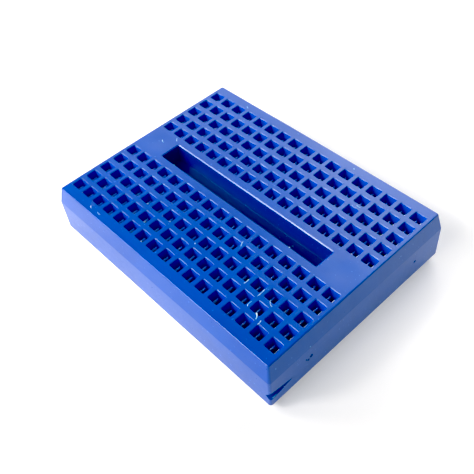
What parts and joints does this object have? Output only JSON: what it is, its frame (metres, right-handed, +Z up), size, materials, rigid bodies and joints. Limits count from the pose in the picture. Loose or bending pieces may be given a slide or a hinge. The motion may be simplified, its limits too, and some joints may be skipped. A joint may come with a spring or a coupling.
{
  "type": "solderless breadboard",
  "caption": "Miniature solderless breadboard: flat plastic block with two banks of square tie-point holes, a centre channel, sprung metal contacts inside and an adhesive foam back.",
  "frame": {"origin": "middle of the underside of the release liner, which is what the board stands on", "axes": "+X along the long side, in the direction that the contact columns are numbered; +Y from the front bank to the back bank, along one column; +Z up, out of the face with the tie points"},
  "size_m": [0.045, 0.0342, 0.0094],
  "materials": {
    "housing_plastic": "satin moulded ABS, saturated royal blue",
    "contact_metal": "thin nickel-plated phosphor bronze spring strip, satin",
    "tape_foam": "white closed-cell foam with adhesive on both faces, matt",
    "liner_paper": "pale yellow silicone-coated release paper, smooth"
  },
  "bodies": {
    "board": {"housing": "housing_plastic", "contact_front_01": "contact_metal", "contact_front_02": "contact_metal", "contact_front_03": "contact_metal", "contact_front_04": "contact_metal", "contact_front_05": "contact_metal", "contact_front_06": "contact_metal", "contact_front_07": "contact_metal", "contact_front_08": "contact_metal", "contact_front_09": "contact_metal", "contact_front_10": "contact_metal", "contact_front_11": "contact_metal", "contact_front_12": "contact_metal", "contact_front_13": "contact_metal", "contact_front_14": "contact_metal", "contact_front_15": "contact_metal", "contact_front_16": "contact_metal", "contact_front_17": "contact_metal", "contact_back_01": "contact_metal", "contact_back_02": "contact_metal", "contact_back_03": "contact_metal", "contact_back_04": "contact_metal", "contact_back_05": "contact_metal", "contact_back_06": "contact_metal", "contact_back_07": "contact_metal", "contact_back_08": "contact_metal", "contact_back_09": "contact_metal", "contact_back_10": "contact_metal", "contact_back_11": "contact_metal", "contact_back_12": "contact_metal", "contact_back_13": "contact_metal", "contact_back_14": "contact_metal", "contact_back_15": "contact_metal", "contact_back_16": "contact_metal", "contact_back_17": "contact_metal", "foam_tape": "tape_foam"},
    "liner": {"release_liner": "liner_paper"}
  },
  "joints": [
    {"name": "liner_peel", "type": "hinge", "parent": "board", "child": "liner", "pos_m": [0.022, 0, 0.00012], "axis": [0, -1, 0], "range_deg": [0, 180]}
  ]
}
